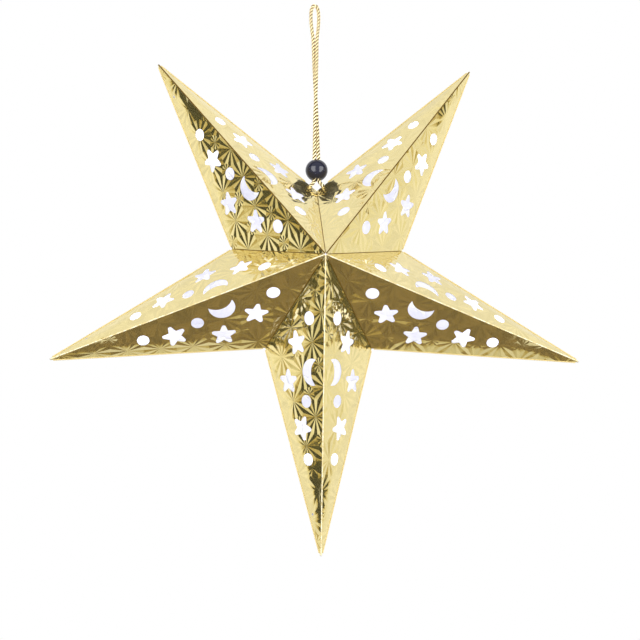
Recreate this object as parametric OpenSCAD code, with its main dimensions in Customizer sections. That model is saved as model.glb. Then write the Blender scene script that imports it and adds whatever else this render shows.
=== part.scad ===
// Folding star lantern: five hollow arms of foil-faced card, each folded from
// front and back panels with punched cut-outs, hung by a doubled cord that a
// bead draws tight. +Z is up, the front peak points to -Y, and the origin is
// the top of the hanging loop.

/* [Star] */
// Distance from the star's centre to the tip of each arm
tip_radius = 157.7; // [150:0.1:170]
// Distance from the star's centre to each inner corner
corner_radius = 51; // [48:0.5:54]
// Distance from the middle plane to the front and back peaks
peak_depth = 50; // [44:0.5:55]
// Thickness of the card
card = 0.4; // [0.3:0.05:0.5]

/* [Cut-outs] */
// Diameter of the round hole nearest the peak
hole_near_d = 7.5; // [6:0.1:8]
// Diameter of the round hole halfway along
hole_middle_d = 7.1; // [6:0.1:8]
// Diameter of the round hole nearest the tip
hole_far_d = 6.8; // [5:0.1:8]
// Distance from a punched star's centre to its points
star_r = 6.9; // [5:0.1:7.2]
// Radius of the round end on each point of a punched star
star_end_r = 1.2; // [0.8:0.1:1.4]
// Depth of a punched star's notches, as a share of its radius
star_notch = 0.54; // [0.45:0.01:0.6]
// Radius of the punched moon's outer curve
moon_r = 7.4; // [6:0.1:7.6]
// Radius of the curve that hollows the moon
moon_hollow_r = 8.9; // [8.5:0.1:9.5]

/* [Folds] */
// Width of the glued tab along each valley fold
tab_w = 6; // [4:0.5:8]
// Clearance along the back folds
back_gap = 1.3; // [1:0.1:1.5]

/* [Hanging cord] */
// Height of the loop's top above the star's centre
drop = 168.5; // [150:0.5:200]
// Thickness of the cord
cord_d = 2.2; // [1.5:0.1:2.2]
// Diameter of the bead
bead_d = 13; // [10:0.5:14]
// Diameter of the hole through the bead
bead_bore_d = 5; // [4.8:0.1:6]
// Height of the bead's centre above the star's centre
bead_height = 64; // [63:0.5:70]
// Diameter of the holes that the cord goes in through
cord_hole_d = 3.4; // [3.2:0.1:4]
// Distance from the top inner corner to each cord hole
cord_hole_at = 5; // [4:0.5:6]
// Diameter of the knots that hold the cord's ends
knot_d = 4.8; // [4:0.1:5]

/* [Hidden] */
$fn = 48;
// How far a cutting shape runs past what it cuts
over = 10;

ARMS = ["upper_right", "right", "bottom", "left", "upper_left"];
SIDES = ["ccw", "cw"];
FACES = ["front", "back"];
// The top valley stays open, so only these arms have a glued tab
TABBED_ARMS = ["right", "bottom", "left", "upper_left"];

function panel_name(arm, face, side) = str(arm, "_arm_", face, "_", side, "_panel");
function tab_name(arm, face) = str(arm, "_arm_", face, "_tab");

FOIL = "#E6D583";
CARD = "#F4F1EA";
CORD = "#E8C873";
BEAD = "#16172A";

arm_step = 72;
half_step = arm_step / 2;

// A panel is a flat triangle: its ridge runs along X from the peak to the
// tip, and Y runs across it to the inner corner.
ridge = norm([tip_radius, peak_depth]);
ridge_slope = atan2(peak_depth, tip_radius);
corner_across = corner_radius * sin(half_step);
corner_inward = peak_depth * (tip_radius - corner_radius * cos(half_step)) / ridge;
corner = [
    (peak_depth ^ 2 + tip_radius * corner_radius * cos(half_step)) / ridge,
    norm([corner_across, corner_inward])
];
roll = atan2(corner_inward, corner_across);
valley = norm(corner);
outer_edge = norm(corner - [ridge, 0]);
peak_angle = atan2(corner[1], corner[0]);
// Direction of the upper right arm's outer edge, away from the top inner corner
edge_run = [tip_radius * sin(half_step), tip_radius * cos(half_step) - corner_radius];
outer_edge_dir = edge_run / norm(edge_run);

// Outer faces meet at about 60 degrees to each side of a valley fold, so the
// card stops just over a 1 / tan(60) share of its thickness short of it.
valley_share = 0.6;
valley_trim = card * valley_share;
// Where a tab starts, from the peak, and ends, from the inner corner
tab_from_peak = 14;
tab_from_corner = 9;

// Cut-outs: where their centres lie on a panel
hole_near_at = [35.2, 11.2];
hole_middle_at = [81, 12.2];
hole_far_at = [113, 10.1];
moon_at = [64.5, 8];
moon_hollow_rise = 7.8;
// Each punched star: its place, then how far it is turned
stars = [[[49.4, 20.5], 3], [[71.4, 26.4], 13], [[96.2, 15], 180]];
// Prick left by the punching die, on three front panels
prick_at = [143, 6.3];
prick_d = 1.4;

// Half-width of a star's point as a share of its round end, which keeps the
// straight sides inside the end
star_shoulder = 0.97;
// Distance from a cord hole straight in to its knot's centre
knot_inside = 4.5;

// Route of the cord, from the left knot over the loop to the right knot,
// counted down from the loop's top
cord_route = [
    [-5.1, 0, -115.8], [-3.9, 0, -114.3], [-2.2, 0, -112.3], [-1.3, 0, -110.4],
    [-1.2, 0, -106], [-1.2, 0, -100], [-1.2, 0, -94], [-1.2, 0, -88], [-1.2, 0, -82],
    [-1.2, 0, -76], [-1.2, 0, -70], [-1.2, 0, -64], [-1.2, 0, -58], [-1.2, 0, -52],
    [-1.2, 0, -46], [-1.2, 0, -40], [-1.2, 0, -34], [-1.2, 0, -28], [-1.3, 0, -22],
    [-1.8, 0, -17], [-2.2, 0, -12], [-2.3, 0, -7.5], [-2, 0, -4], [-1.2, 0, -1.8],
    [0, 0, -1.1],
    [1.2, 0, -1.8], [2, 0, -4], [2.3, 0, -7.5], [2.2, 0, -12], [1.8, 0, -17],
    [1.3, 0, -22], [1.2, 0, -28], [1.2, 0, -34], [1.2, 0, -40], [1.2, 0, -46],
    [1.2, 0, -52], [1.2, 0, -58], [1.2, 0, -64], [1.2, 0, -70], [1.2, 0, -76],
    [1.2, 0, -82], [1.2, 0, -88], [1.2, 0, -94], [1.2, 0, -100], [1.2, 0, -106],
    [1.3, 0, -110.4], [2.2, 0, -112.3], [3.9, 0, -114.3], [5.1, 0, -115.8]
];
cord_sides = 8;

function index_of(name, list) = search([name], list)[0];
function arm_angle(arm) = half_step + arm_step * index_of(arm, ARMS);

// Frame of a cord ring: the route stays in the XZ plane, so one side of the
// ring is always Y.
function route_dir(i) =
    let (last = len(cord_route) - 1,
         step = cord_route[min(i + 1, last)] - cord_route[max(i - 1, 0)])
    step / norm(step);
function ring_point(i, k) =
    let (turn = 360 * (k + 0.5) / cord_sides, dir = route_dir(i), across = [dir[2], 0, -dir[0]])
    cord_route[i] + cord_d / 2 * (cos(turn) * across + sin(turn) * [0, 1, 0]);

// Blunt-ended five-pointed star, one point along +Y
module punched_star() {
    reach = star_r - star_end_r;
    notch_r = star_r * star_notch;
    union() {
        for (k = [0:4]) rotate(90 + arm_step * k) translate([reach, 0]) circle(r = star_end_r);
        polygon([for (k = [0:4]) each [
            for (s = [-1, 1]) let (turn = 90 + arm_step * k)
                reach * [cos(turn), sin(turn)] + s * star_end_r * star_shoulder * [-sin(turn), cos(turn)],
            let (turn = 90 + arm_step * (k + 0.5)) notch_r * [cos(turn), sin(turn)]
        ]]);
    }
}

module moon() {
    difference() {
        circle(r = moon_r);
        translate([0, -moon_hollow_rise]) circle(r = moon_hollow_r);
    }
}

module cut_outs() {
    translate(hole_near_at) circle(d = hole_near_d);
    translate(hole_middle_at) circle(d = hole_middle_d);
    translate(hole_far_at) circle(d = hole_far_d);
    translate(moon_at) moon();
    for (star = stars) translate(star[0]) rotate(star[1]) punched_star();
}

// Strip of the panel's plane along the valley line, w wide
module valley_strip(w) {
    rotate(peak_angle) translate([-over, -w]) square([valley + 2 * over, w + over]);
}

// Flat panel outline, held back from the ridge and valley folds
module outline(ridge_gap, valley_gap) {
    difference() {
        polygon([[0, 0], [ridge, 0], corner]);
        valley_strip(valley_gap);
        if (ridge_gap > 0) translate([-over, -over]) square([ridge + 2 * over, over + ridge_gap]);
    }
}

// Sets a flat shape on the front side of an arm that points up, outer face out
module on_arm() {
    translate([0, -peak_depth, 0]) rotate([-90 - ridge_slope, 0, 0]) rotate([0, 0, -90])
        rotate([roll, 0, 0]) children();
}

// Turns an arm's piece to its arm, its face and its side
module place(arm, face, side) {
    translate([0, 0, -drop]) rotate([0, arm_angle(arm), 0])
        mirror([0, face == "back" ? 1 : 0, 0]) mirror([side == "ccw" ? 1 : 0, 0, 0])
            on_arm() children();
}

module panel(arm, face, side) {
    ridge_gap = face == "back" ? back_gap : 0;
    valley_gap = face == "back" ? back_gap : valley_trim;
    at_seam = (arm == "upper_left" && side == "cw") || (arm == "upper_right" && side == "ccw");
    pricked = face == "front" && ((side == "cw" && (arm == "bottom" || arm == "left"))
        || (side == "ccw" && arm == "upper_left"));
    color(FOIL) place(arm, face, side) translate([0, 0, -card]) linear_extrude(card) difference() {
        outline(ridge_gap, valley_gap);
        cut_outs();
        if (at_seam) translate(corner + cord_hole_at * ([ridge, 0] - corner) / outer_edge)
            circle(d = cord_hole_d);
        if (pricked) translate(prick_at) circle(d = prick_d);
    }
}

// Tab glued inside the counter-clockwise panel of an arm, from the next one
module tab(arm, face) {
    start = tab_from_peak;
    end = valley - tab_from_corner;
    gap = face == "back" ? back_gap : valley_trim;
    color(CARD) place(arm, face, "ccw") linear_extrude(card) rotate(peak_angle)
        polygon([[start, -gap], [end, -gap], [end - tab_w, -gap - tab_w], [start + tab_w, -gap - tab_w]]);
}

module hanging_cord() {
    last = len(cord_route) - 1;
    rings = [for (i = [0:last]) for (k = [0:cord_sides - 1]) ring_point(i, k)];
    walls = [for (i = [0:last - 1]) for (k = [0:cord_sides - 1])
        let (a = i * cord_sides + k, b = i * cord_sides + (k + 1) % cord_sides)
        [a, b, b + cord_sides, a + cord_sides]];
    caps = [[for (k = [cord_sides - 1:-1:0]) k], [for (k = [0:cord_sides - 1]) last * cord_sides + k]];
    color(CORD) polyhedron(points = rings, faces = concat(walls, caps));
}

module cinch_bead() {
    color(BEAD) translate([0, 0, bead_height - drop]) difference() {
        sphere(d = bead_d);
        cylinder(d = bead_bore_d, h = bead_d + over, center = true);
    }
}

// Knot inside the star, straight in from the cord hole on one side
module cord_knot(side_x) {
    along = [outer_edge_dir[0] * side_x, 0, outer_edge_dir[1]];
    inward = [outer_edge_dir[1] * side_x, 0, -outer_edge_dir[0]];
    hole = [0, 0, corner_radius - drop] + cord_hole_at * along;
    color(CORD) translate(hole + knot_inside * inward) sphere(d = knot_d);
}

for (arm = ARMS) for (face = FACES) for (side = SIDES)
    panel(arm, face, side);
for (arm = TABBED_ARMS) for (face = FACES)
    tab(arm, face);
hanging_cord();
cinch_bead();
cord_knot(-1);  // left_cord_knot
cord_knot(1);  // right_cord_knot
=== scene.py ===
import bpy, bmesh, math
from mathutils import Matrix, Vector, noise
from mathutils.geometry import delaunay_2d_cdt


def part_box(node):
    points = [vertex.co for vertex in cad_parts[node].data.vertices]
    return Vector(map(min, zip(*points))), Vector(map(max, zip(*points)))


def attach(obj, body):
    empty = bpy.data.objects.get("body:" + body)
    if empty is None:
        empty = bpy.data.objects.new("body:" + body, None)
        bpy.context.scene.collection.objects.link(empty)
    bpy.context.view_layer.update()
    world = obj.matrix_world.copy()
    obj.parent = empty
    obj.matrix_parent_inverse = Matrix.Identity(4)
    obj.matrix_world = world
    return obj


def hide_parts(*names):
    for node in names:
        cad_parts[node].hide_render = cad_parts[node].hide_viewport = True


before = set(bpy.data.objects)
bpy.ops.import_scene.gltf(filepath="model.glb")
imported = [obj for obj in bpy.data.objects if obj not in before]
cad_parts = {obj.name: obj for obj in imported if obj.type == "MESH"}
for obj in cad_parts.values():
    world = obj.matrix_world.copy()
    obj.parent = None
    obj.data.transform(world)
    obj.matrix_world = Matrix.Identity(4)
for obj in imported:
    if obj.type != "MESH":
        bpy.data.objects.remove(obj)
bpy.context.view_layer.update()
scene = bpy.context.scene
mm = 0.001


def linear(hexColour):
    values = [int(hexColour[i:i + 2], 16) / 255 for i in (1, 3, 5)]
    return [v / 12.92 if v <= 0.04045 else ((v + 0.055) / 1.055) ** 2.4 for v in values] + [1.0]


def fill(tree, node, inputs):
    # an input takes a value, a socket, or the first live output of another node
    for key, value in inputs.items():
        socket = node.inputs[key] if isinstance(key, int) else next(
            s for s in node.inputs if s.name == key and s.enabled)
        if isinstance(value, bpy.types.Node):
            value = next(out for out in value.outputs if out.enabled)
        if isinstance(value, bpy.types.NodeSocket):
            tree.links.new(value, socket)
        else:
            socket.default_value = value
    return node


def addNode(tree, kind, inputs=None, **settings):
    node = tree.nodes.new(kind)
    for key, value in settings.items():
        setattr(node, key, value)
    return fill(tree, node, inputs or {})


def newMaterial(name):
    material = bpy.data.materials.new(name)
    material.use_nodes = True
    tree = material.node_tree
    return material, tree, tree.nodes["Principled BSDF"]


def newObject(name, mesh, *materials):
    item = bpy.data.objects.new(name, mesh)
    scene.collection.objects.link(item)
    for material in materials:
        mesh.materials.append(material)
    return item


def newTree(name, sizes):
    # Geometry Nodes group that takes a line and named sizes
    tree = bpy.data.node_groups.new(name, "GeometryNodeTree")
    face = tree.interface
    face.new_socket("Geometry", in_out="INPUT", socket_type="NodeSocketGeometry")
    for size, kind in sizes.items():
        face.new_socket(size, in_out="INPUT", socket_type="NodeSocket" + kind)
    face.new_socket("Geometry", in_out="OUTPUT", socket_type="NodeSocketGeometry")
    return tree, addNode(tree, "NodeGroupInput").outputs


def endTree(tree, geometry, material):
    smooth = addNode(tree, "GeometryNodeSetShadeSmooth", {"Geometry": geometry})
    real = addNode(tree, "GeometryNodeRealizeInstances", {"Geometry": smooth})
    coloured = addNode(tree, "GeometryNodeSetMaterial", {"Geometry": real, "Material": material})
    addNode(tree, "NodeGroupOutput", {"Geometry": coloured})


def runAlong(name, path, tree, sizes):
    # what the tree makes of this path, as a plain mesh
    curve = bpy.data.curves.new(name + " line", "CURVE")
    curve.dimensions = "3D"
    curve.twist_mode = "MINIMUM"
    spline = curve.splines.new("POLY")
    spline.points.add(len(path) - 1)
    for point, place in zip(spline.points, path):
        point.co = (*place, 1)
    line = bpy.data.objects.new(name + " line", curve)
    scene.collection.objects.link(line)
    modifier = line.modifiers.new("along", "NODES")
    modifier.node_group = tree
    for socket in tree.interface.items_tree:
        if socket.name in sizes and socket.in_out == "INPUT":
            modifier[socket.identifier] = sizes[socket.name]
    bpy.context.view_layer.update()
    mesh = bpy.data.meshes.new_from_object(line.evaluated_get(bpy.context.evaluated_depsgraph_get()))
    mesh.name = name
    bpy.data.objects.remove(line)
    return newObject(name, mesh)


def arc(x, y, radius, start, end, steps):
    angles = [math.radians(start + (end - start) * k / steps) for k in range(steps + 1)]
    return [(x + radius * math.cos(a), y + radius * math.sin(a)) for a in angles]


# camera, a little below the star and to its left
view = {"place": (-0.0644, -0.7345, -0.3529), "aim": (0.001, 0, -0.1937), "lens": 74.6, "roll": -0.66}


def makeCamera():
    data = bpy.data.cameras.new("camera")
    data.lens = view["lens"]
    data.sensor_width = 36
    data.clip_start = 0.01
    camera = bpy.data.objects.new("camera", data)
    scene.collection.objects.link(camera)
    camera.location = view["place"]
    aim = (Vector(view["aim"]) - camera.location).to_track_quat("-Z", "Y")
    roll = Matrix.Rotation(math.radians(view["roll"]), 3, "Z")
    camera.rotation_euler = (aim.to_matrix() @ roll).to_euler()
    scene.camera = camera


makeCamera()

# hanging cord, in mm: one leg from its knot up to the top of the eye, then the same leg mirrored
legLow = [(5.1, -115.8), (3.9, -114.3), (2.2, -112.3), (1.3, -110.4)]
legHigh = [(1.3, -22), (1.8, -17), (2.2, -12), (2.3, -7.5), (2, -4), (1.2, -1.8), (0, -1.1)]
leg = legLow + [(1.2, z) for z in range(-106, -27, 6)] + legHigh
cordRoute = [(-x, z) for x, z in leg] + leg[-2::-1]
cord = {
    "diameter": 2.2, "strands": 3, "strandRadius": 0.56, "spread": 1.03, "lay": 6.6, "step": 0.45, "sides": 8,
    "halfTurns": 1, "pairTop": -16, "pairBottom": -98, "pairFade": 8, "pairClose": 0.9,
    # the pale colour is a painted highlight on the strands' crowns, the gap colour painted shade down between
    # them
    "fibre": 0.35, "fibreHeight": 0.1, "gold": "#E4BC6A", "paintedHighlight": "#FFF2C6", "gap": "#2A1804",
    "metallic": 0.6, "roughness": 0.38,
}


def smoothPath(points, perSpan=6):
    # Catmull-Rom curve through the points
    path = []
    for i in range(len(points) - 1):
        a, b = points[max(i - 1, 0)], points[i]
        c, d = points[i + 1], points[min(i + 2, len(points) - 1)]
        for k in range(perSpan):
            t = k / perSpan
            path.append(0.5 * ((2 * b) + (c - a) * t + (2 * a - 5 * b + 4 * c - d) * t * t
                               + (3 * b - a - 3 * c + d) * t ** 3))
    return path + [points[-1]]


def pairTwist(point):
    # between the bead and the eye the two legs cross once and lie close together
    top, bottom, fade = cord["pairTop"], cord["pairBottom"], cord["pairFade"]
    z = min(max(point.z, bottom), top)
    turn = math.pi * cord["halfTurns"] * (z - bottom) / (top - bottom)
    inner = max(0, min(1, (top - point.z) / fade, (point.z - bottom) / fade))
    close = 1 - (1 - cord["pairClose"]) * inner
    return Matrix.Rotation(turn, 3, "Z") @ Vector((point.x * close, point.y, point.z))


def cordMaterial():
    # metallised polyester thread: flat-wound gold, painted bright on each strand's crown (painted highlight)
    # and dark brown down in the lay where the strands meet (painted shade)
    material, tree, shader = newMaterial("metallised gold thread")
    facing = addNode(tree, "ShaderNodeAttribute", attribute_name="outward")
    coord = addNode(tree, "ShaderNodeTexCoord")
    sparkle = addNode(tree, "ShaderNodeTexNoise", {
        "Vector": coord.outputs["Object"], "Scale": 1 / (cord["fibre"] * mm), "Detail": 3, "Roughness": 0.6})
    # painted light: pale where a strand faces out of the rope, dark where it faces into the lay
    paintedCrownLight = addNode(tree, "ShaderNodeMapRange", {
        "Value": facing.outputs["Fac"], "From Min": 0.5, "From Max": 0.88, "To Min": -0.3, "To Max": 0.28})
    lift = addNode(tree, "ShaderNodeMath", {0: paintedCrownLight, 1: sparkle.outputs["Fac"]}, operation="ADD")
    ramp = addNode(tree, "ShaderNodeValToRGB", {"Fac": lift})
    stops = ramp.color_ramp.elements
    stops[0].position, stops[0].color = 0.38, linear(cord["gap"])
    stops[1].position, stops[1].color = 0.75, linear(cord["paintedHighlight"])
    stops.new(0.52).color = linear(cord["gold"])
    fibres = addNode(tree, "ShaderNodeBump", {
        "Strength": 0.5, "Distance": cord["fibreHeight"] * mm, "Height": sparkle.outputs["Fac"]})
    fill(tree, shader, {"Base Color": ramp, "Normal": fibres, "Metallic": cord["metallic"],
                        "Roughness": cord["roughness"]})
    return material


def ropeTree(material):
    # strands wound round a line: each copy of the line is pushed out along a turning normal
    tree, given = newTree("twisted rope", {"Strands": "Int", "Strand Radius": "Float", "Ply Offset": "Float",
                                           "Lay Length": "Float", "Step": "Float"})
    fine = addNode(tree, "GeometryNodeResampleCurve", {"Curve": given["Geometry"], "Length": given["Step"]},
                   mode="LENGTH")
    copies = addNode(tree, "GeometryNodeDuplicateElements", {"Geometry": fine, "Amount": given["Strands"]},
                     domain="SPLINE")
    along = addNode(tree, "GeometryNodeSplineParameter").outputs["Length"]
    turns = addNode(tree, "ShaderNodeMath", {0: along, 1: given["Lay Length"]}, operation="DIVIDE")
    share = addNode(tree, "ShaderNodeMath", {0: copies.outputs["Duplicate Index"], 1: given["Strands"]},
                    operation="DIVIDE")
    phase = addNode(tree, "ShaderNodeMath", {0: turns, 1: share}, operation="ADD")
    angle = addNode(tree, "ShaderNodeMath", {0: phase, 1: math.tau}, operation="MULTIPLY")
    normal = addNode(tree, "GeometryNodeInputNormal")
    tangent = addNode(tree, "GeometryNodeInputTangent")
    turned = addNode(tree, "ShaderNodeVectorRotate",
                     {"Vector": normal.outputs["Normal"], "Axis": tangent, "Angle": angle})
    marked = addNode(tree, "GeometryNodeStoreNamedAttribute",
                     {"Geometry": copies.outputs["Geometry"], "Name": "ply", "Value": turned},
                     data_type="FLOAT_VECTOR", domain="POINT")
    # the stored direction is read back, as the line's own normal changes once it is wound
    ply = addNode(tree, "GeometryNodeInputNamedAttribute", {"Name": "ply"}, data_type="FLOAT_VECTOR")
    push = addNode(tree, "ShaderNodeVectorMath", {0: ply, "Scale": given["Ply Offset"]}, operation="SCALE")
    wound = addNode(tree, "GeometryNodeSetPosition", {"Geometry": marked, "Offset": push})
    ring = addNode(tree, "GeometryNodeCurvePrimitiveCircle",
                   {"Resolution": cord["sides"], "Radius": given["Strand Radius"]})
    tube = addNode(tree, "GeometryNodeCurveToMesh",
                   {"Curve": wound, "Profile Curve": ring, "Fill Caps": True})
    # how much each point faces out of the rope, which the thread's colour turns into painted highlight and
    # painted shade
    surface = addNode(tree, "GeometryNodeInputNormal")
    outward = addNode(tree, "ShaderNodeVectorMath", {0: surface.outputs["Normal"], 1: ply},
                      operation="DOT_PRODUCT")
    shaded = addNode(tree, "GeometryNodeStoreNamedAttribute",
                     {"Geometry": tube, "Name": "outward", "Value": outward.outputs["Value"]},
                     data_type="FLOAT", domain="POINT")
    endTree(tree, shaded, material)
    return tree


def makeRope(name, path, strandRadius, lay):
    return runAlong(name, path, ropeNodes, {
        "Strands": cord["strands"], "Strand Radius": strandRadius * mm, "Lay Length": lay * mm,
        "Ply Offset": strandRadius * cord["spread"] * mm, "Step": cord["step"] * mm})


ropeNodes = ropeTree(cordMaterial())
centreLine = smoothPath([Vector((x * mm, 0, z * mm)) for x, z in cordRoute])
centreLine = [pairTwist(p / mm) * mm for p in centreLine]
cordPiece = makeRope("twistedCord", centreLine, cord["strandRadius"], cord["lay"])
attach(cordPiece, "cord_side_panel")
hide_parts("hanging_cord")

# bead that slides on the doubled cord; sizes in mm
bead = {"bore": 5.0, "rimRound": 0.55, "segments": 64, "rimSteps": 6, "ballSteps": 28, "body": "#16182A",
        "rim": "#8C8C98", "wornFrom": 3.5, "wornTo": 2.6, "cloud": 2, "roughness": 0.12, "ior": 1.5}
beadLow, beadHigh = (Vector(corner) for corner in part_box("cinch_bead"))
beadCentre = (beadLow + beadHigh) / 2


def beadMaterial():
    # blown glass, near black with a blue cast: hard bright lights in it, and a rim ground dull and grey
    material, tree, shader = newMaterial("blue-black glass")
    coord = addNode(tree, "ShaderNodeTexCoord")
    place = addNode(tree, "ShaderNodeMapping", {"Vector": coord.outputs["Object"], "Location": -beadCentre},
                    vector_type="POINT")
    flat = addNode(tree, "ShaderNodeVectorMath", {0: place, 1: (1, 1, 0)}, operation="MULTIPLY")
    radius = addNode(tree, "ShaderNodeVectorMath", {0: flat}, operation="LENGTH")
    worn = addNode(tree, "ShaderNodeMapRange", {
        "Value": radius.outputs["Value"], "From Min": bead["wornTo"] * mm, "From Max": bead["wornFrom"] * mm,
        "To Min": 1, "To Max": 0})
    cloud = addNode(tree, "ShaderNodeTexNoise", {
        "Vector": coord.outputs["Object"], "Scale": 1 / (bead["cloud"] * mm)})
    amount = addNode(tree, "ShaderNodeMath", {0: worn, 1: cloud.outputs["Fac"]}, operation="MULTIPLY")
    tint = addNode(tree, "ShaderNodeMix", {"Factor": amount, "A": linear(bead["body"]),
                                           "B": linear(bead["rim"])}, data_type="RGBA")
    fill(tree, shader, {"Base Color": tint, "Roughness": bead["roughness"], "IOR": bead["ior"]})
    return material


def tidyMesh(mesh):
    # merge points within half a micron and turn every face outwards
    work = bmesh.new()
    work.from_mesh(mesh)
    bmesh.ops.remove_doubles(work, verts=work.verts, dist=0.5e-6)
    bmesh.ops.recalc_face_normals(work, faces=work.faces)
    work.to_mesh(mesh)
    work.free()


def makeBead():
    outer, bore, rim = (beadHigh.x - beadLow.x) / 2 / mm, bead["bore"] / 2, bead["rimRound"]
    # the rim's small circle touches the bore's wall and the ball from inside
    across = bore + rim
    up = math.sqrt((outer - rim) ** 2 - across ** 2)
    start, steps = math.degrees(math.atan2(up, across)), bead["rimSteps"]
    profile = [(bore, -up + 2 * up * k / steps) for k in range(steps + 1)]
    profile += arc(across, up, rim, 180, start, steps)[1:]
    profile += arc(0, 0, outer, start, -start, bead["ballSteps"])[1:]
    profile += arc(across, -up, rim, -start, -180, steps)[1:-1]
    count, rings = bead["segments"], len(profile)
    verts = [beadCentre + Vector((r * math.cos(t), r * math.sin(t), z)) * mm
             for t in [math.tau * k / count for k in range(count)] for r, z in profile]
    faces = [(i * rings + j, i * rings + (j + 1) % rings, (i + 1) % count * rings + (j + 1) % rings,
              (i + 1) % count * rings + j) for i in range(count) for j in range(rings)]
    mesh = bpy.data.meshes.new("bead")
    mesh.from_pydata(verts, [], faces)
    tidyMesh(mesh)
    mesh.shade_smooth()
    item = newObject("bead", mesh, beadMaterial())
    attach(item, "cinch_bead")
    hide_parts("cinch_bead")
    return item


beadPiece = makeBead()

# stop knots on the two cord ends, inside the lantern: trefoils cut open for a short gap
knot = {"size": 0.62, "rise": 1.7, "strandRadius": 0.44, "lay": 4.2, "gap": 0.02, "steps": 90}


def makeKnot(name, node, body):
    low, high = (Vector(corner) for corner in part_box(node))
    centre, path = (low + high) / 2, []
    for k in range(knot["steps"] + 1):
        t = math.tau * (knot["gap"] + (1 - 2 * knot["gap"]) * k / knot["steps"])
        bend = Vector((math.sin(t) + 2 * math.sin(2 * t), -knot["rise"] * math.sin(3 * t),
                       math.cos(t) - 2 * math.cos(2 * t)))
        path.append(centre + knot["size"] * mm * bend)
    item = makeRope(name, path, knot["strandRadius"], knot["lay"])
    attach(item, body)
    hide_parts(node)
    return item


knots = [makeKnot("leftKnot", "left_cord_knot", "cord_side_panel"),
         makeKnot("rightKnot", "right_cord_knot", "upper_right_front_ccw")]
print("bead and knots")

# folded star lantern, in mm and degrees about the star's centre
arms = {"upper_right": 36, "right": 108, "bottom": 180, "left": 252, "upper_left": 324}
seamSides = (("upper_left", "cw"), ("upper_right", "ccw"))
star = {
    "tip": 157.7, "corner": 51, "peak": 50, "drop": 168.5, "halfStep": 36, "card": 0.4,
    # how far a sheet stops short of its folds, and of the open seam as well
    "hair": 0.03, "valleyTrim": 0.23, "slit": 0.03,
    # triangle mesh: side, row height over side, clearances over side, smallest area
    "mesh": 3.0, "row": 0.866, "shift": 1, "clearSide": 0.45, "clearCut": 0.4, "least": 1e-4,
    # pillow: its height, how steeply it leaves each side, and how softly the slopes meet
    "bulge": 1.4, "edgeSlope": 0.095, "ridgeSlope": 0.036, "ridgeTurn": 118, "ridgePower": 14,
    "valleySlope": 0.02, "blend": 0.05, "rimFlat": 0.01, "rimSoft": 0.1,
    "ripple": 0.015, "rippleSize": 14, "rippleFrom": 0.3,
}
starCentre = Vector((0, 0, -star["drop"]))
# cut-outs on a panel: distance from the peak along the ridge, distance from the ridge, then sizes
cuts = {
    "rounds": [(35.2, 11.2, 7.5), (81, 12.2, 7.1), (113, 10.1, 6.8)], "roundSteps": 28,
    "moon": (64.5, 8, 7.4, 8.9, 7.8), "moonSteps": (30, 20),
    "stars": [(49.4, 20.5, 3), (71.4, 26.4, 13), (96.2, 15, 180)],
    "starRadius": 6.9, "starRound": 1.2, "starNotch": 0.54, "starSteps": 6,
    "prick": (143, 6.3, 1.4), "prickSteps": 10,
    "pricked": ("bottom_arm_front_cw", "left_arm_front_cw", "upper_left_arm_front_ccw"),
}
# foil: pitch of the burst lattice, its turn, centre and shift from arm to arm in mm and degrees
foil = {
    "pitch": 18.2, "turn": 21.5, "centre": (48.2, 8.6), "armShift": (5.3, 9.01), "bigRays": 12,
    "smallRays": 10, "smallReach": 0.30, "tilt": 0.055, "tiltLeast": 0.5, "tiltMost": 1.3, "grain": 0.032,
    "grainSize": 1.2, "rubSize": 1.5, "rubReach": 7, "gold": "#F2E2A4", "worn": "#FFF6CF",
    "roughness": 0.07, "wornRoughness": 0.45, "metallic": 0.9,
}


def moonLoop(x, y, outer, hollow, apart):
    # horns are where the two circles cross
    drop = (apart ** 2 + outer ** 2 - hollow ** 2) / (2 * apart)
    half = math.sqrt(outer ** 2 - drop ** 2)
    low = math.degrees(math.atan2(-drop, half))
    top = math.degrees(math.atan2(apart - drop, half))
    outerSteps, hollowSteps = cuts["moonSteps"]
    return (arc(x, y, outer, low, 180 - low, outerSteps)[:-1]
            + arc(x, y - apart, hollow, 180 - top, top, hollowSteps)[:-1])


def starLoop(x, y, turn):
    # five points rounded by a small circle, with sharp notches between them
    radius, soft, notch = cuts["starRadius"], cuts["starRound"], cuts["starRadius"] * cuts["starNotch"]
    hub, half = radius - soft, math.radians(36)
    dip = Vector((notch * math.cos(half) - hub, notch * math.sin(half)))
    spread = math.degrees(math.atan2(dip.y, dip.x) - math.acos(soft / dip.length))
    loop = []
    for way in (90 + turn + 72 * k for k in range(5)):
        cx, cy = x + hub * math.cos(math.radians(way)), y + hub * math.sin(math.radians(way))
        loop += arc(cx, cy, soft, way - spread, way + spread, cuts["starSteps"])
        loop += arc(x, y, notch, way + 36, way + 36, 1)[:1]
    return loop


def cutLoops(name):
    loops = [arc(x, y, across / 2, 0, 360, cuts["roundSteps"])[:-1] for x, y, across in cuts["rounds"]]
    loops += [moonLoop(*cuts["moon"])] + [starLoop(*one) for one in cuts["stars"]]
    if name.startswith(cuts["pricked"]):
        x, y, across = cuts["prick"]
        loops.append(arc(x, y, across / 2, 0, 360, cuts["prickSteps"])[:-1])
    return loops


def inside(point, loop):
    x, y = point
    hit = False
    for (ax, ay), (bx, by) in zip(loop, loop[1:] + loop[:1]):
        if (ay > y) != (by > y) and x < (bx - ax) * (y - ay) / (by - ay) + ax:
            hit = not hit
    return hit


def towards(degrees, radius):
    return Vector((math.sin(math.radians(degrees)), 0, math.cos(math.radians(degrees)))) * radius


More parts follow.
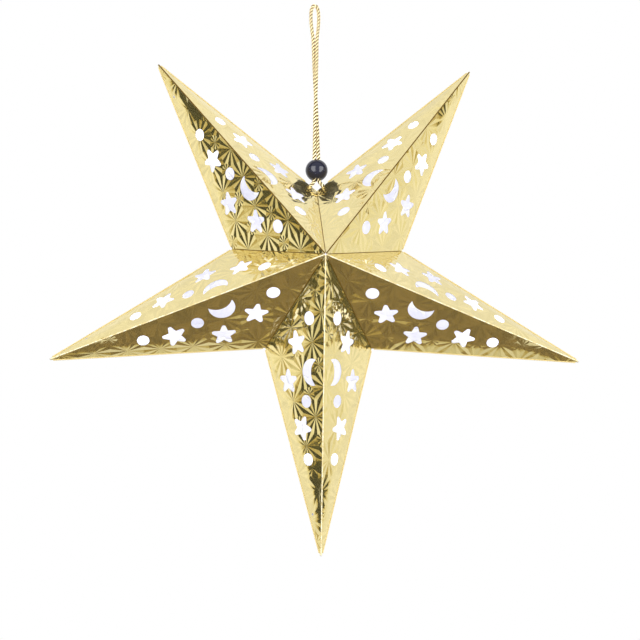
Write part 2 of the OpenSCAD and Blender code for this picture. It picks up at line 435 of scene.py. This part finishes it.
def panelFrame(arm, face, side):
    # peak, direction along the ridge, direction across, outward normal
    peak = Vector((0, -star["peak"] if face == "front" else star["peak"], 0))
    tip = towards(arms[arm], star["tip"])
    corner = towards(arms[arm] + star["halfStep"] * (1 if side == "cw" else -1), star["corner"])
    along = (tip - peak).normalized()
    across = (corner - peak) - along * (corner - peak).dot(along)
    across.normalize()
    out = along.cross(across)
    return peak, along, across, out if out.dot(peak) > 0 else -out


def meet(first, second):
    # crossing of two lines, each an inward normal and its distance from the peak
    (a, b), (c, d) = first, second
    det = a.x * c.y - a.y * c.x
    return Vector(((b * c.y - d * a.y) / det, (a.x * d - c.x * b) / det))


def panelOutline(trimValley):
    # ridge along x, the foot of the valley away from it, every side a hair short of its fold
    _, along, across, _ = panelFrame("bottom", "front", "cw")
    corner = towards(arms["bottom"] + star["halfStep"], star["corner"]) + Vector((0, star["peak"], 0))
    foot = Vector((corner.dot(along), corner.dot(across)))
    tip = Vector((math.hypot(star["tip"], star["peak"]), 0))
    offValley = Vector((foot.y, -foot.x)).normalized()
    offEdge = Vector((foot.y, tip.x - foot.x)).normalized() * -1
    ridge, valley = (Vector((0, 1)), star["hair"]), (offValley, trimValley)
    edge = (offEdge, offEdge.dot(tip) + star["hair"])
    return meet(ridge, valley), meet(valley, edge), meet(edge, ridge), offValley, offEdge


def panelMesh(outline, loops):
    # even triangles inside the outline and outside every cut-out
    peak, foot, tip, offValley, offEdge = outline
    step = star["mesh"]
    points = []
    for a, b in ((peak, tip), (tip, foot), (foot, peak)):
        count = max(1, round((b - a).length / step))
        points += [a.lerp(b, k / count) for k in range(count)]
    edges = [(k, (k + 1) % len(points)) for k in range(len(points))]
    rims = [Vector(p) for loop in loops for p in loop]
    for loop in loops:
        first = len(points)
        points += [Vector(p) for p in loop]
        edges += [(first + k, first + (k + 1) % len(loop)) for k in range(len(loop))]
    row = 0
    while row * step * star["row"] < foot.y:
        y = (row + 0.5) * step * star["row"]
        for column in range(int(tip.x / step) + 1):
            p = Vector(((column + 0.5 * (row % 2)) * step + star["shift"], y))
            clear = min((p - peak).dot(offValley), (p - tip).dot(offEdge), p.y)
            if clear < step * star["clearSide"] or any(inside(p, loop) for loop in loops):
                continue
            if min((p - q).length_squared for q in rims) > (step * star["clearCut"]) ** 2:
                points.append(p)
        row += 1
    flat, _, triangles = delaunay_2d_cdt(points, edges, [], 0, star["least"])[:3]
    kept = []
    for triangle in triangles:
        a, b, c = (flat[k] for k in triangle)
        hollow = any(inside((a + b + c) / 3, loop) for loop in loops)
        if not hollow and abs((b - a).cross(c - a)) > star["least"]:
            kept.append(triangle)
    return flat, kept


def softMin(values, blend):
    return -blend * math.log(sum(math.exp(-value / blend) for value in values))


def pillow(p, outline):
    # height of the sheet over its flat panel: nothing on the folds, rounding up to a low flat top
    peak, _, tip, offValley, offEdge = outline
    fromValley, fromEdge = (p - peak).dot(offValley), (p - tip).dot(offEdge)
    if min(p.y, fromValley, fromEdge) < star["rimFlat"]:
        return 0
    steeper = 1 + (p.x / star["ridgeTurn"]) ** star["ridgePower"]
    lifts = [star["edgeSlope"] * fromEdge, star["ridgeSlope"] * steeper * p.y,
             star["valleySlope"] * fromValley, star["bulge"]]
    low = min(lifts)
    rounded = softMin([one - low for one in lifts], star["blend"])
    return max(0, low + rounded * min(1, low / star["rimSoft"]))


def bodyOf(arm, face, side):
    name = f"{arm}_{face}_{side}"
    return "cord_side_panel" if name == "upper_left_front_cw" else name


def makePanel(arm, face, side, foilSheet, cardCore):
    node = f"{arm}_arm_{face}_{side}_panel"
    onSeam = face == "front" and (arm, side) in seamSides
    outline = panelOutline(star["valleyTrim"] + star["slit"] * onSeam)
    flat, triangles = panelMesh(outline, cutLoops(node))
    origin, along, across, out = panelFrame(arm, face, side)
    number = list(arms).index(arm)
    # far apart in the noise, so that no two panels ripple alike
    ripplePlace = Vector((number * 40, 90 * (face == "front"), 60 * (side == "cw")))
    work = bmesh.new()
    sheet = work.loops.layers.uv.new("flat")
    fromPeak = work.verts.layers.float.new("fromPeak")
    layers = []
    for height in (star["card"], 0):
        layer = []
        for p in flat:
            rise = pillow(p, outline)
            ripple = noise.noise(Vector((p.x, p.y, 0)) / star["rippleSize"] + ripplePlace)
            rise += ripple * star["ripple"] * min(1, rise / star["rippleFrom"])
            place = origin + along * p.x + across * p.y + out * (height + rise) + starCentre
            vert = work.verts.new(place * mm)
            vert[fromPeak] = (p - outline[0]).length
            layer.append(vert)
        layers.append(layer)
    top, under = layers
    for triangle in triangles:
        work.faces.new([top[k] for k in triangle])
        work.faces.new([under[k] for k in reversed(triangle)]).material_index = 1
    # the card's cut edge stands wherever a triangle has no neighbour
    sides = [pair for triangle in triangles for pair in zip(triangle, triangle[1:] + triangle[:1])]
    shared = set(sides)
    for a, b in sides:
        if (b, a) in shared:
            continue
        wall = work.faces.new((top[a], under[a], under[b], top[b]))
        wall.material_index = 1
        for line in wall.edges:
            line.smooth = False
    # place in the lattice of embossed bursts, in pitches, running on over the ridge
    turn = Matrix.Rotation(math.radians(-foil["turn"]), 2)
    start = Vector(foil["centre"]) + Vector(foil["armShift"]) * (number - 2)
    flip = 1 if (side == "cw") == (face == "front") else -1
    index = {vert: k for layer in layers for k, vert in enumerate(layer)}
    for piece in work.faces:
        piece.smooth = True
        for loop in piece.loops:
            p = flat[index[loop.vert]]
            loop[sheet].uv = turn @ (Vector((p.x, p.y * flip)) - start) / foil["pitch"]
    bmesh.ops.recalc_face_normals(work, faces=work.faces)
    mesh = bpy.data.meshes.new(node)
    work.to_mesh(mesh)
    work.free()
    item = newObject(f"{arm}_{face}_{side}_sheet", mesh, foilSheet, cardCore)
    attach(item, bodyOf(arm, face, side))
    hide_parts(node)
    return item


def foilMaterial():
    # holographic gold foil laminated on card: a mirror pressed in starbursts whose facets flash or go dark
    material, tree, shader = newMaterial("embossed gold foil")
    flat = addNode(tree, "ShaderNodeUVMap", uv_map="flat")
    # big bursts on a square lattice, small ones in the middle of its squares
    half = addNode(tree, "ShaderNodeVectorMath", {0: flat, 1: (0.5, 0.5, 0)}, operation="ADD")
    bigCell = addNode(tree, "ShaderNodeVectorMath", {0: half}, operation="FLOOR")
    bigAway = addNode(tree, "ShaderNodeVectorMath", {0: flat, 1: bigCell}, operation="SUBTRACT")
    smallFloor = addNode(tree, "ShaderNodeVectorMath", {0: flat}, operation="FLOOR")
    smallCell = addNode(tree, "ShaderNodeVectorMath", {0: smallFloor, 1: (0.5, 0.5, 0)}, operation="ADD")
    smallAway = addNode(tree, "ShaderNodeVectorMath", {0: flat, 1: smallCell}, operation="SUBTRACT")
    bigFar = addNode(tree, "ShaderNodeVectorMath", {0: bigAway}, operation="LENGTH").outputs["Value"]
    smallFar = addNode(tree, "ShaderNodeVectorMath", {0: smallAway}, operation="LENGTH").outputs["Value"]
    lead = addNode(tree, "ShaderNodeMath", {0: bigFar, 1: smallFar}, operation="SUBTRACT")
    small = addNode(tree, "ShaderNodeMath", {0: lead, 1: foil["smallReach"]}, operation="GREATER_THAN")
    away = addNode(tree, "ShaderNodeMix", {"Factor": small, "A": bigAway, "B": smallAway}, data_type="VECTOR")
    cell = addNode(tree, "ShaderNodeMix", {"Factor": small, "A": bigCell, "B": smallCell}, data_type="VECTOR")
    # wedges round each centre, leaning one way and the other by turns
    part = addNode(tree, "ShaderNodeSeparateXYZ", {0: away})
    angle = addNode(tree, "ShaderNodeMath", {0: part.outputs["Y"], 1: part.outputs["X"]}, operation="ARCTAN2")
    rays = addNode(tree, "ShaderNodeMapRange", {
        "Value": small, "To Min": foil["bigRays"] / math.pi, "To Max": foil["smallRays"] / math.pi})
    count = addNode(tree, "ShaderNodeMath", {0: angle, 1: rays}, operation="MULTIPLY")
    wedge = addNode(tree, "ShaderNodeMath", {0: count}, operation="FLOOR")
    odd = addNode(tree, "ShaderNodeMath", {0: wedge, 1: 2}, operation="FLOORED_MODULO")
    sign = addNode(tree, "ShaderNodeMath", {0: odd, 1: 2, 2: -1}, operation="MULTIPLY_ADD")
    chance = addNode(tree, "ShaderNodeTexWhiteNoise", {"Vector": cell, "W": wedge}, noise_dimensions="4D")
    gain = addNode(tree, "ShaderNodeMapRange", {
        "Value": chance.outputs["Value"], "To Min": foil["tilt"] * foil["tiltLeast"],
        "To Max": foil["tilt"] * foil["tiltMost"]})
    lean = addNode(tree, "ShaderNodeMath", {0: sign, 1: gain}, operation="MULTIPLY")
    spin = addNode(tree, "ShaderNodeVectorMath", {0: (0, 0, 1), 1: away}, operation="CROSS_PRODUCT")
    unit = addNode(tree, "ShaderNodeVectorMath", {0: spin}, operation="NORMALIZE")
    tilt = addNode(tree, "ShaderNodeVectorMath", {0: unit, "Scale": lean}, operation="SCALE")
    # fine unevenness of the laminate
    grain = addNode(tree, "ShaderNodeTexNoise", {
        "Vector": flat, "Scale": foil["pitch"] / foil["grainSize"], "Detail": 3})
    level = addNode(tree, "ShaderNodeVectorMath", {0: grain.outputs["Color"], 1: (0.5, 0.5, 0.5)},
                    operation="SUBTRACT")
    fine = addNode(tree, "ShaderNodeVectorMath", {0: level, "Scale": foil["grain"]}, operation="SCALE")
    slope = addNode(tree, "ShaderNodeVectorMath", {0: tilt, 1: fine}, operation="ADD")
    coded = addNode(tree, "ShaderNodeVectorMath", {0: slope, 1: (0.5, 0.5, 0), 2: (0.5, 0.5, 1)},
                    operation="MULTIPLY_ADD")
    pressed = addNode(tree, "ShaderNodeNormalMap", {"Color": coded}, space="TANGENT", uv_map="flat")
    # foil rubbed through to cream round the peak
    fromPeak = addNode(tree, "ShaderNodeAttribute", attribute_name="fromPeak")
    rub = addNode(tree, "ShaderNodeTexNoise", {
        "Vector": flat, "Scale": foil["pitch"] / foil["rubSize"], "Detail": 5})
    near = addNode(tree, "ShaderNodeMapRange", {
        "Value": fromPeak.outputs["Fac"], "From Min": 0, "From Max": foil["rubReach"], "To Min": 0.42,
        "To Max": -0.3})
    rubbed = addNode(tree, "ShaderNodeMath", {0: near, 1: rub.outputs["Fac"]}, operation="ADD")
    worn = addNode(tree, "ShaderNodeMapRange", {"Value": rubbed, "From Min": 0.62, "From Max": 0.75})
    tint = addNode(tree, "ShaderNodeMix", {"Factor": worn, "A": linear(foil["gold"]),
                                           "B": linear(foil["worn"])}, data_type="RGBA")
    shine = addNode(tree, "ShaderNodeMapRange", {
        "Value": worn, "To Min": foil["roughness"], "To Max": foil["wornRoughness"]})
    fill(tree, shader, {"Base Color": tint, "Normal": pressed, "Roughness": shine,
                        "Metallic": foil["metallic"]})
    return material


# bare card: inside of the panels, their cut edges and the glue tabs; pulp mottle in mm
card = {"dark": "#E2E2EA", "light": "#F4F4F8", "pulp": 1.5, "roughness": 0.9}


def cardMaterial():
    # uncoated white card: matt, with a faint mottle of pulp
    material, tree, shader = newMaterial("uncoated white card")
    coord = addNode(tree, "ShaderNodeTexCoord")
    pulp = addNode(tree, "ShaderNodeTexNoise", {
        "Vector": coord.outputs["Object"], "Scale": 1 / (card["pulp"] * mm), "Detail": 4})
    ramp = addNode(tree, "ShaderNodeValToRGB", {"Fac": pulp.outputs["Fac"]})
    ramp.color_ramp.elements[0].color = linear(card["dark"])
    ramp.color_ramp.elements[1].color = linear(card["light"])
    fill(tree, shader, {"Base Color": ramp, "Roughness": card["roughness"]})
    return material


foilSheet, cardCore = foilMaterial(), cardMaterial()
for armName in arms:
    for faceName in ("front", "back"):
        for sideName in ("cw", "ccw"):
            makePanel(armName, faceName, sideName, foilSheet, cardCore)
        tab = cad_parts.get(f"{armName}_arm_{faceName}_tab")
        if tab:
            for place in tab.material_slots:
                place.material = cardCore
print("panels")

# creases: a thin roll of foil along every ridge, valley and outer edge; sizes in mm
crease = {
    "radius": 0.34, "proud": 0.48, "seamRadius": 0.2, "seamProud": 0.5, "sides": 10, "step": 1.5,
    "wobble": 0.05, "lump": 6,
    # how far a roll stops short of the points it runs between
    "peakGap": 0.5, "tipGap": 0.8, "valleyGap": 0.02, "cornerGap": 1.6, "seamGap": 9, "edgeTipGap": 2,
    # the cream colour is the painted highlight of a rounded fold, broken into flecks; the two thresholds
    # after it set how much of it the ridges and the outer edges get
    "highlightCream": "#E6DCBC", "gold": "#C9B67E", "fleck": 2.5, "worn": 0.42, "edgeHighlightStart": 0.62, "spread": 0.16,
    "metallic": 0.25, "roughness": 0.5,
    "seam": "#B08A38", "seamDark": "#7A5E22", "dent": 4, "seamRoughness": 0.4,
    # arms whose ridge gets the dark roll, with no painted highlight
    "dark": ("upper_right", "upper_left"),
}


def creaseMaterial(name, least):
    # painted highlight along a fold: cream flecks between bits of bright gold stand in for the light its
    # rounded edge catches
    material, tree, shader = newMaterial(name)
    coord = addNode(tree, "ShaderNodeTexCoord")
    flecks = addNode(tree, "ShaderNodeTexNoise", {
        "Vector": coord.outputs["Object"], "Scale": 1 / (crease["fleck"] * mm), "Detail": 4,
        "Roughness": 0.7})
    paintedHighlightMask = addNode(tree, "ShaderNodeMapRange", {
        "Value": flecks.outputs["Fac"], "From Min": least, "From Max": least + crease["spread"]})
    tint = addNode(tree, "ShaderNodeMix", {"Factor": paintedHighlightMask, "A": linear(crease["gold"]),
                                           "B": linear(crease["highlightCream"])}, data_type="RGBA")
    fill(tree, shader, {"Base Color": tint, "Metallic": crease["metallic"], "Roughness": crease["roughness"]})
    return material


def seamMaterial():
    # foil turned over the card's cut edge: a darker line of old gold
    material, tree, shader = newMaterial("turned foil edge")
    coord = addNode(tree, "ShaderNodeTexCoord")
    dents = addNode(tree, "ShaderNodeTexNoise", {
        "Vector": coord.outputs["Object"], "Scale": 1 / (crease["dent"] * mm)})
    ramp = addNode(tree, "ShaderNodeValToRGB", {"Fac": dents.outputs["Fac"]})
    ramp.color_ramp.elements[0].color = linear(crease["seamDark"])
    ramp.color_ramp.elements[1].color = linear(crease["seam"])
    fill(tree, shader, {"Base Color": ramp, "Metallic": 1, "Roughness": crease["seamRoughness"]})
    return material


def creaseTree(material):
    # a round roll along a line that wobbles a little
    tree, given = newTree("crease roll", {"Radius": "Float", "Wobble": "Float", "Step": "Float"})
    fine = addNode(tree, "GeometryNodeResampleCurve", {"Curve": given["Geometry"], "Length": given["Step"]},
                   mode="LENGTH")
    lumps = addNode(tree, "ShaderNodeTexNoise", {"Scale": 1 / (crease["lump"] * mm), "Detail": 2})
    level = addNode(tree, "ShaderNodeVectorMath", {0: lumps.outputs["Color"], 1: (0.5, 0.5, 0.5)},
                    operation="SUBTRACT")
    push = addNode(tree, "ShaderNodeVectorMath", {0: level, "Scale": given["Wobble"]}, operation="SCALE")
    moved = addNode(tree, "GeometryNodeSetPosition", {"Geometry": fine, "Offset": push})
    ring = addNode(tree, "GeometryNodeCurvePrimitiveCircle",
                   {"Resolution": crease["sides"], "Radius": given["Radius"]})
    tube = addNode(tree, "GeometryNodeCurveToMesh",
                   {"Curve": moved, "Profile Curve": ring, "Fill Caps": True})
    endTree(tree, tube, material)
    return tree


def makeCrease(name, a, b, body, tree, radius):
    item = runAlong(name, [a * mm, b * mm], tree, {
        "Radius": radius * mm, "Wobble": crease["wobble"] * mm, "Step": crease["step"] * mm})
    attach(item, body)
    return item


# the ridge and outer edge rolls carry the painted highlight, the seam roll does not
ridgeHighlightFold = creaseTree(creaseMaterial("gold fold with painted highlight", crease["worn"]))
edgeHighlightFold = creaseTree(creaseMaterial("gold edge with painted highlight", crease["edgeHighlightStart"]))
seamFold = creaseTree(seamMaterial())
reach = math.hypot(star["tip"], star["peak"])
paleCreases = []
for armName, degrees in arms.items():
    for faceName in ("front", "back"):
        peak, along, across, out = panelFrame(armName, faceName, "ccw")
        body = bodyOf(armName, faceName, "ccw")
        beside = panelFrame(armName, faceName, "cw")[3]
        foot = peak + starCentre + (out + beside).normalized() * crease["proud"]
        ridgeFold = seamFold if armName in crease["dark"] else ridgeHighlightFold
        ridge = makeCrease(f"{armName}_{faceName}_ridge_crease", foot + along * crease["peakGap"],
                           foot + along * (reach - crease["tipGap"]), body, ridgeFold, crease["radius"])
        if ridgeFold != seamFold:
            paleCreases.append(ridge)
        # valley between this arm and the one before it
        before = list(arms)[list(arms).index(armName) - 1]
        beside = panelFrame(before, faceName, "cw")[3]
        lift = starCentre + (out + beside).normalized() * crease["seamProud"]
        corner = towards(degrees - star["halfStep"], star["corner"])
        makeCrease(f"{armName}_{faceName}_valley_crease", corner.lerp(peak, crease["valleyGap"]) + lift,
                   corner.lerp(peak, 1 - crease["valleyGap"]) + lift, body, seamFold, crease["seamRadius"])
    for sideName, sign in (("cw", 1), ("ccw", -1)):
        out, behind = (panelFrame(armName, faceName, sideName)[3] for faceName in ("front", "back"))
        lift = starCentre + (out + behind).normalized() * crease["proud"]
        tip = towards(degrees, star["tip"])
        corner = towards(degrees + sign * star["halfStep"], star["corner"])
        # the cord's holes are by the seam's corner
        gap = crease["seamGap"] if (armName, sideName) in seamSides else crease["cornerGap"]
        length = (tip - corner).length
        paleCreases.append(makeCrease(
            f"{armName}_{sideName}_edge_crease", corner.lerp(tip, gap / length) + lift,
            corner.lerp(tip, 1 - crease["edgeTipGap"] / length) + lift, bodyOf(armName, "front", sideName),
            edgeHighlightFold, crease["radius"]))
print("creases")

# studio: white wall behind, a dark belt round the lantern, a grey room in front of it
studio = {
    # edge between belt and wall, straight down and straight up, and the wall's colours beyond it
    "limitDown": 0.12, "limitUp": -0.06,
    "steps": [(0.015, (0.6, 0.46, 0.13)), (0.04, (0.98, 0.88, 0.42)), (0.10, (1, 0.97, 0.8)),
              (0.20, (1.06, 1.05, 1.04))],
    "olive": (0.045, 0.045, 0.01), "brown": (0.22, 0.158, 0.07), "brownFrom": -0.4, "brownTo": -0.85,
    "front": 0.78, "frontEdge": -0.25, "frontSoft": 0.05, "below": 0.72,
    # soft folds in the cloth of the wall and the belt: scale, darkest, lightest
    "folds": 7, "foldShade": (0.86, 1.04), "beltShade": (0.68, 1.15),
    # windows for the bead, cord and pale creases, and lamps for the white card inside
    "window": 26.0, "windowSize": (1.2, 1.6), "windowAway": 1.5,
    "glow": 0.055, "armGlow": 0.011, "armGlowAt": 98, "lilac": (0.97, 0.97, 1.0), "lampRadius": 0.01,
    "paint": "#F2F2F0", "paintRoughness": 0.9, "floorHalf": 3, "floorDrop": 1.2,
}


def makeWorld():
    world = bpy.data.worlds.new("studio")
    scene.world = world
    world.use_nodes = True
    tree = world.node_tree
    tree.nodes.clear()
    way = addNode(tree, "ShaderNodeTexCoord").outputs["Generated"]
    part = addNode(tree, "ShaderNodeSeparateXYZ", {0: way})
    limit = addNode(tree, "ShaderNodeMapRange", {
        "Value": part.outputs["Z"], "From Min": -1, "From Max": 1, "To Min": studio["limitDown"],
        "To Max": studio["limitUp"]})
    past = addNode(tree, "ShaderNodeMath", {0: part.outputs["Y"], 1: limit}, operation="SUBTRACT")
    back = addNode(tree, "ShaderNodeMapRange", {
        "Value": past, "From Min": 0, "From Max": studio["steps"][0][0]})
    wall = addNode(tree, "ShaderNodeValToRGB", {"Fac": past})
    stops = wall.color_ramp.elements
    for stop, (place, colour) in zip([stops[0], stops[1], stops.new(0.5), stops.new(0.6)], studio["steps"]):
        stop.position, stop.color = place, (*colour, 1)
    low = addNode(tree, "ShaderNodeMapRange", {
        "Value": part.outputs["Z"], "From Min": studio["brownFrom"], "From Max": studio["brownTo"]},
        interpolation_type="SMOOTHSTEP")
    belt = addNode(tree, "ShaderNodeMix", {"Factor": low, "A": (*studio["olive"], 1),
                                           "B": (*studio["brown"], 1)}, data_type="RGBA")
    cloth = addNode(tree, "ShaderNodeTexNoise", {"Vector": way, "Scale": studio["folds"], "Detail": 1})
    near = addNode(tree, "ShaderNodeMapRange", {
        "Value": part.outputs["Y"], "From Min": studio["frontEdge"] + studio["frontSoft"],
        "From Max": studio["frontEdge"] - studio["frontSoft"]}, interpolation_type="SMOOTHSTEP")
    beltFolds, wallFolds = (addNode(tree, "ShaderNodeMapRange", {
        "Value": cloth.outputs["Fac"], "From Min": 0.35, "From Max": 0.65, "To Min": darkest,
        "To Max": lightest})
        for darkest, lightest in (studio["beltShade"], studio["foldShade"]))
    beltDim = addNode(tree, "ShaderNodeVectorMath", {0: belt, "Scale": beltFolds}, operation="SCALE")
    room = addNode(tree, "ShaderNodeMix", {"Factor": near, "A": beltDim, "B": (*[studio["front"]] * 3, 1)},
                   data_type="RGBA")
    dim = addNode(tree, "ShaderNodeMapRange", {"Value": low, "To Min": 1, "To Max": studio["below"]})
    level = addNode(tree, "ShaderNodeMath", {0: dim, 1: wallFolds}, operation="MULTIPLY")
    wallDim = addNode(tree, "ShaderNodeVectorMath", {0: wall.outputs["Color"], "Scale": level},
                      operation="SCALE")
    around = addNode(tree, "ShaderNodeMix", {"Factor": back, "A": room, "B": wallDim}, data_type="RGBA")
    seen = addNode(tree, "ShaderNodeLightPath").outputs["Is Camera Ray"]
    final = addNode(tree, "ShaderNodeMix", {"Factor": seen, "A": around, "B": (1, 1, 1, 1)}, data_type="RGBA")
    glow = addNode(tree, "ShaderNodeBackground", {"Color": final, "Strength": 1})
    addNode(tree, "ShaderNodeOutputWorld", {"Surface": glow})


def makeWindow(name, direction, lit):
    data = bpy.data.lights.new(name, "AREA")
    data.shape = "RECTANGLE"
    data.size, data.size_y = studio["windowSize"]
    data.energy = studio["window"]
    lamp = bpy.data.objects.new(name, data)
    scene.collection.objects.link(lamp)
    lamp.location = beadCentre + Vector(direction).normalized() * studio["windowAway"]
    lamp.rotation_euler = (-Vector(direction)).to_track_quat("-Z", "Y").to_euler()
    lamp.visible_camera = False
    lamp.light_linking.receiver_collection = lit


def makeGlow(name, place, energy):
    data = bpy.data.lights.new(name, "POINT")
    data.energy = energy
    data.color = studio["lilac"]
    data.shadow_soft_size = studio["lampRadius"]
    lamp = bpy.data.objects.new(name, data)
    scene.collection.objects.link(lamp)
    lamp.location = (starCentre + Vector(place)) * mm
    lamp.visible_camera = False
    lamp.visible_glossy = False


def makeFloor():
    half, down = studio["floorHalf"], -studio["floorDrop"]
    mesh = bpy.data.meshes.new("floor")
    mesh.from_pydata([(-half, -half, down), (half, -half, down), (half, half, down), (-half, half, down)],
                     [], [(0, 1, 2, 3)])
    paint, tree, shader = newMaterial("matt white paint")
    fill(tree, shader, {"Base Color": linear(studio["paint"]), "Roughness": studio["paintRoughness"]})
    floor = newObject("floor", mesh, paint)
    floor.visible_glossy = False


makeWorld()
windowLit = bpy.data.collections.new("lit by the windows")
for item in (beadPiece, cordPiece, *knots, *paleCreases):
    windowLit.objects.link(item)
makeWindow("left window", (-0.62, -0.77, 0.02), windowLit)
makeWindow("right window", (0.7, -0.67, -0.02), windowLit)
makeGlow("card glow", (0, 0, 0), studio["glow"])
for armName, degrees in arms.items():
    makeGlow(armName + " glow", towards(degrees, studio["armGlowAt"]), studio["armGlow"])
scene.view_settings.view_transform = "Standard"
makeFloor()
print("studio")
